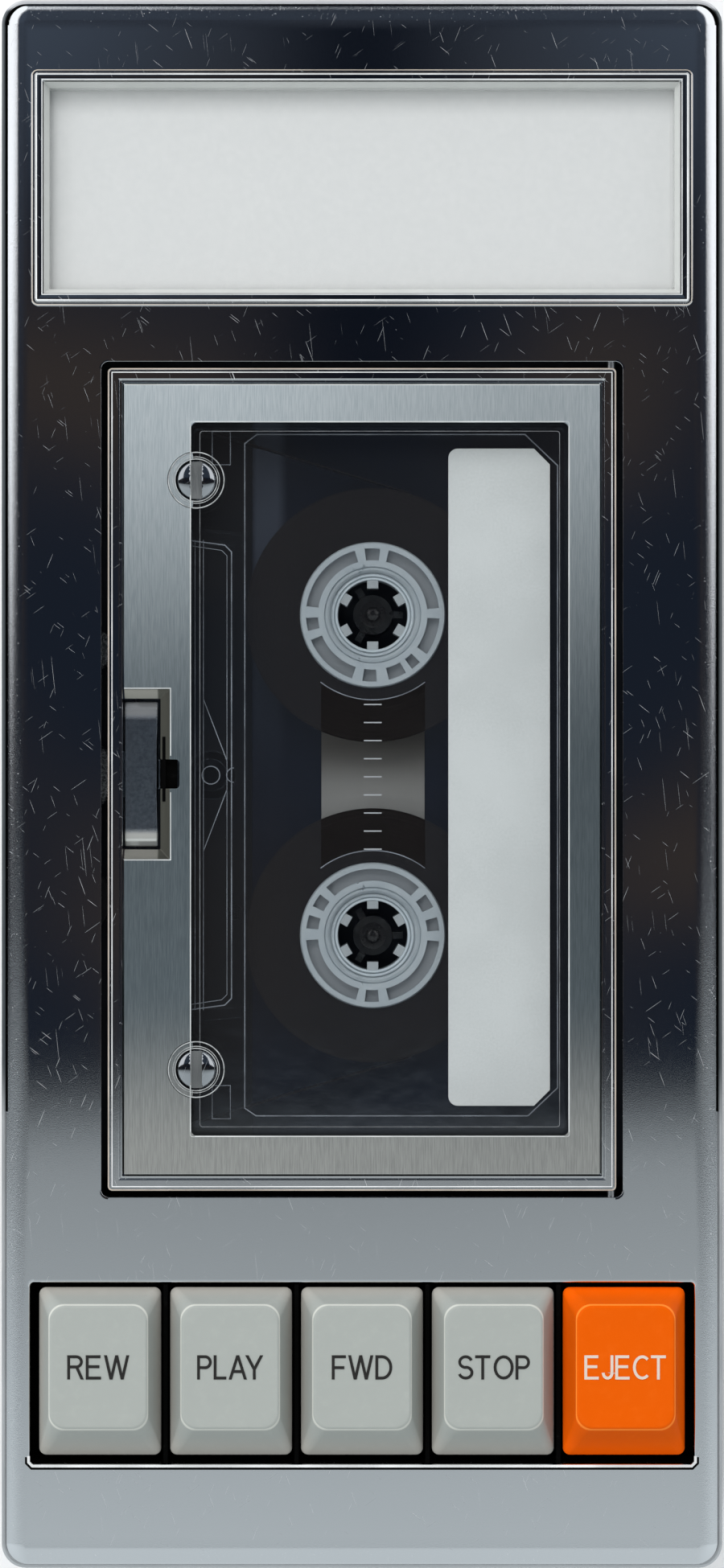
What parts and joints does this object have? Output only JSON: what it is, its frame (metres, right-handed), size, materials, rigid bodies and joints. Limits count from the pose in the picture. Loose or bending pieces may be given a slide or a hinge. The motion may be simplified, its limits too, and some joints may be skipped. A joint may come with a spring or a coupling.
{
  "type": "cassette radio player",
  "caption": "Portable cassette radio player lying on its back, with a polished front, a dial window, a clear-windowed cassette door and a row of piano keys.",
  "frame": {"origin": "on the table under the middle of the case, at the level of the feet", "axes": "+X to the right of the face, +Y towards the dial end, +Z out of the face"},
  "size_m": [0.0948, 0.2064, 0.0436],
  "materials": {
    "chromed_panel": "polished, finely scratched",
    "satin_case": "satin",
    "back_plastic": "moulded, matt",
    "black_plastic": "moulded",
    "brushed_plate": "brushed lengthwise",
    "dial_white": "smooth",
    "clear_window": "clear",
    "clear_shell": "clear, smoky",
    "label_paper": "blank, uncoated",
    "slip_sheet": "matt film",
    "hub_plastic": "moulded",
    "tape_film": "satin brown film",
    "key_grey": "moulded, semi-gloss",
    "key_orange": "moulded, semi-gloss",
    "steel": "zinc plated",
    "turned_metal": "turned",
    "spindle_plastic": "moulded",
    "rubber": "matt",
    "brass": "drawn",
    "felt": "felt",
    "board": "solder mask",
    "ferrite": "sintered",
    "speaker_steel": "pressed",
    "cone_paper": "pressed pulp",
    "cell_jacket": "plain jacket"
  },
  "bodies": {
    "case": {"front_cover": "chromed_panel", "middle_case": "satin_case", "rear_cover": "back_plastic", "rubber_feet": "rubber", "case_screws": "steel", "dial_bezel": "chromed_panel", "dial_lens": "clear_window", "dial_plate": "dial_white", "key_frame": "black_plastic", "key_shaft": "steel", "key_return_comb": "steel", "cassette_shell_upper": "clear_shell", "cassette_shell_lower": "clear_shell", "cassette_label": "label_paper", "cassette_liner": "slip_sheet", "tape_run": "tape_film", "pressure_pad": "felt", "deck_plate": "steel", "motor": "steel", "drive_belt": "rubber", "circuit_board": "board", "speaker": "speaker_steel", "speaker_cone": "cone_paper", "antenna_rod": "ferrite", "antenna_holder": "black_plastic", "volume_control": "black_plastic", "tuning_capacitor": "black_plastic", "earphone_jack": "black_plastic", "batteries": "cell_jacket", "battery_contacts": "brass"},
    "door": {"door_frame": "chromed_panel", "door_plate": "brushed_plate", "door_lens": "clear_window", "lens_screws": "chromed_panel", "hinge_pins": "steel"},
    "latch": {"door_latch": "chromed_panel"},
    "rew_key": {"key_rew": "key_grey"},
    "play_key": {"key_play": "key_grey"},
    "fwd_key": {"key_fwd": "key_grey"},
    "stop_key": {"key_stop": "key_grey"},
    "eject_key": {"key_eject": "key_orange"},
    "supply_reel": {"spindle_supply": "spindle_plastic", "hub_supply": "hub_plastic", "tape_supply": "tape_film"},
    "takeup_reel": {"spindle_takeup": "spindle_plastic", "hub_takeup": "hub_plastic", "tape_takeup": "tape_film"},
    "supply_roller": {"guide_roller_supply": "hub_plastic"},
    "takeup_roller": {"guide_roller_takeup": "hub_plastic"},
    "capstan": {"capstan_flywheel": "turned_metal"},
    "idler": {"idler_wheel": "spindle_plastic"},
    "motor_rotor": {"motor_pulley": "brass"},
    "head_carriage": {"head_plate": "steel", "playback_head": "turned_metal", "erase_head": "turned_metal", "pinch_arm": "steel"},
    "pinch": {"pinch_roller": "rubber"},
    "volume_knob": {"volume_wheel": "black_plastic"},
    "tuning_knob": {"tuning_wheel": "black_plastic"},
    "battery_cover": {"battery_door": "back_plastic"}
  },
  "joints": [
    {"name": "door_hinge", "type": "hinge", "parent": "case", "child": "door", "pos_m": [0.03265, 0.0006, 0.039], "axis": [0, 1, 0], "range_deg": [0, 90]},
    {"name": "latch_slide", "type": "slide", "parent": "door", "child": "latch", "axis": [1, 0, 0], "range_m": [0, 0.0016], "stiffness_N_per_m": 300, "springref_m": -0.001},
    {"name": "key_rew_press", "type": "hinge", "parent": "case", "child": "rew_key", "pos_m": [-0.03432, -0.06, 0.0354], "axis": [1, 0, 0], "range_deg": [0, 10], "stiffness_Nm_per_rad": 0.12, "springref_deg": -5.73},
    {"name": "key_play_press", "type": "hinge", "parent": "case", "child": "play_key", "pos_m": [-0.01716, -0.06, 0.0354], "axis": [1, 0, 0], "range_deg": [0, 10]},
    {"name": "key_fwd_press", "type": "hinge", "parent": "case", "child": "fwd_key", "pos_m": [0, -0.06, 0.0354], "axis": [1, 0, 0], "range_deg": [0, 10], "stiffness_Nm_per_rad": 0.12, "springref_deg": -5.73},
    {"name": "key_stop_press", "type": "hinge", "parent": "case", "child": "stop_key", "pos_m": [0.01716, -0.06, 0.0354], "axis": [1, 0, 0], "range_deg": [0, 10], "stiffness_Nm_per_rad": 0.12, "springref_deg": -5.73},
    {"name": "key_eject_press", "type": "hinge", "parent": "case", "child": "eject_key", "pos_m": [0.03432, -0.06, 0.0354], "axis": [1, 0, 0], "range_deg": [0, 10], "stiffness_Nm_per_rad": 0.12, "springref_deg": -5.73},
    {"name": "head_slide", "type": "slide", "parent": "case", "child": "head_carriage", "axis": [1, 0, 0], "range_m": [0, 0.003], "stiffness_N_per_m": 400, "springref_m": -0.003},
    {"name": "capstan_spin", "type": "hinge", "parent": "case", "child": "capstan", "pos_m": [-0.02884, -0.01553, 0.02], "axis": [0, 0, 1], "continuous": true},
    {"name": "motor_spin", "type": "hinge", "parent": "case", "child": "motor_rotor", "pos_m": [0.03, -0.024, 0.012], "axis": [0, 0, 1], "continuous": true},
    {"name": "idler_spin", "type": "hinge", "parent": "case", "child": "idler", "pos_m": [-0.01717, -0.01728, 0.02], "axis": [0, 0, 1], "continuous": true},
    {"name": "supply_reel_spin", "type": "hinge", "parent": "case", "child": "supply_reel", "pos_m": [0.00142, 0.02242, 0.0309], "axis": [0, 0, 1], "continuous": true},
    {"name": "takeup_reel_spin", "type": "hinge", "parent": "case", "child": "takeup_reel", "pos_m": [0.00142, -0.02008, 0.0309], "axis": [0, 0, 1], "continuous": true},
    {"name": "supply_roller_spin", "type": "hinge", "parent": "case", "child": "supply_roller", "pos_m": [-0.02708, 0.04567, 0.0309], "axis": [0, 0, 1], "continuous": true},
    {"name": "takeup_roller_spin", "type": "hinge", "parent": "case", "child": "takeup_roller", "pos_m": [-0.02708, -0.04333, 0.0309], "axis": [0, 0, 1], "continuous": true},
    {"name": "pinch_spin", "type": "hinge", "parent": "head_carriage", "child": "pinch", "pos_m": [-0.03791, -0.01553, 0.0309], "axis": [0, 0, 1], "continuous": true},
    {"name": "volume_turn", "type": "hinge", "parent": "case", "child": "volume_knob", "pos_m": [0.0379, 0.066, 0.024], "axis": [0, 0, 1], "range_deg": [0, 270]},
    {"name": "tuning_turn", "type": "hinge", "parent": "case", "child": "tuning_knob", "pos_m": [0.0379, 0.086, 0.024], "axis": [0, 0, 1], "range_deg": [-90, 90]},
    {"name": "battery_cover_slide", "type": "slide", "parent": "case", "child": "battery_cover", "axis": [0, -1, 0], "range_m": [0, 0.006]}
  ],
  "couplings": [
    {"joint": "key_play_press", "follows": "head_slide", "rad_per_m": 58.17},
    {"joint": "motor_spin", "follows": "capstan_spin", "ratio": 4},
    {"joint": "idler_spin", "follows": "capstan_spin", "ratio": -0.53333},
    {"joint": "supply_reel_spin", "follows": "capstan_spin", "ratio": 0.059347},
    {"joint": "takeup_reel_spin", "follows": "capstan_spin", "ratio": 0.059347},
    {"joint": "supply_roller_spin", "follows": "capstan_spin", "ratio": 0.33333},
    {"joint": "takeup_roller_spin", "follows": "capstan_spin", "ratio": 0.33333},
    {"joint": "pinch_spin", "follows": "capstan_spin", "ratio": -0.22222}
  ]
}
